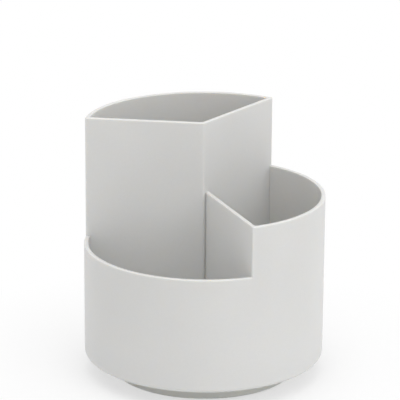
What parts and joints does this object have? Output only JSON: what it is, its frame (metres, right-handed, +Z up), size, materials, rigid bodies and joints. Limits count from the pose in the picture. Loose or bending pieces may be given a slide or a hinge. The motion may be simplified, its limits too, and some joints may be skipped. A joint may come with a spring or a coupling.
{
  "type": "rotating pen holder",
  "caption": "Rotating desk pen holder: a round pale grey cup with partitions and stepped rims, turning on a ball bearing over a low round base with rubber feet.",
  "frame": {"origin": "on the table under the middle of the round cup and base, on the turning axis", "axes": "+Z up along the turning axis, -Y towards the front of the holder as pictured (low compartment front left, middle one right, tall one at the back), +X to its right"},
  "size_m": [0.116, 0.116, 0.124],
  "materials": {
    "cup_plastic": "fine satin moulded grain, pale warm grey",
    "base_plastic": "fine satin moulded grain, pale warm grey",
    "inner_plastic": "plain moulded, light grey",
    "cage_plastic": "natural nylon, off-white",
    "slip_plastic": "low-friction washer stock, white",
    "bearing_steel": "polished with a film of grease",
    "plated_steel": "zinc plated",
    "bush_bronze": "sintered bronze, dull",
    "foot_rubber": "matte black"
  },
  "bodies": {
    "base": {"base_shell": "base_plastic", "base_cover": "inner_plastic", "base_cover_screws": "plated_steel", "foot_front": "foot_rubber", "foot_right": "foot_rubber", "foot_back": "foot_rubber", "foot_left": "foot_rubber", "lower_race": "bearing_steel", "pivot_bush": "bush_bronze", "upper_washer": "slip_plastic"},
    "cage": {"ball_cage": "cage_plastic", "bearing_balls": "bearing_steel"},
    "holder": {"cup": "cup_plastic", "swivel_plate": "inner_plastic", "swivel_plate_screws": "plated_steel", "upper_race": "bearing_steel", "pivot_screw": "plated_steel", "lower_washer": "plated_steel", "lock_washer": "plated_steel", "pivot_nut": "plated_steel"}
  },
  "joints": [
    {"name": "holder_spin", "type": "hinge", "parent": "base", "child": "holder", "pos_m": [0, 0, 0.012], "axis": [0, 0, 1], "continuous": true},
    {"name": "cage_spin", "type": "hinge", "parent": "base", "child": "cage", "pos_m": [0, 0, 0.00996], "axis": [0, 0, 1], "continuous": true}
  ],
  "couplings": [
    {"joint": "cage_spin", "follows": "holder_spin", "ratio": 0.5}
  ]
}
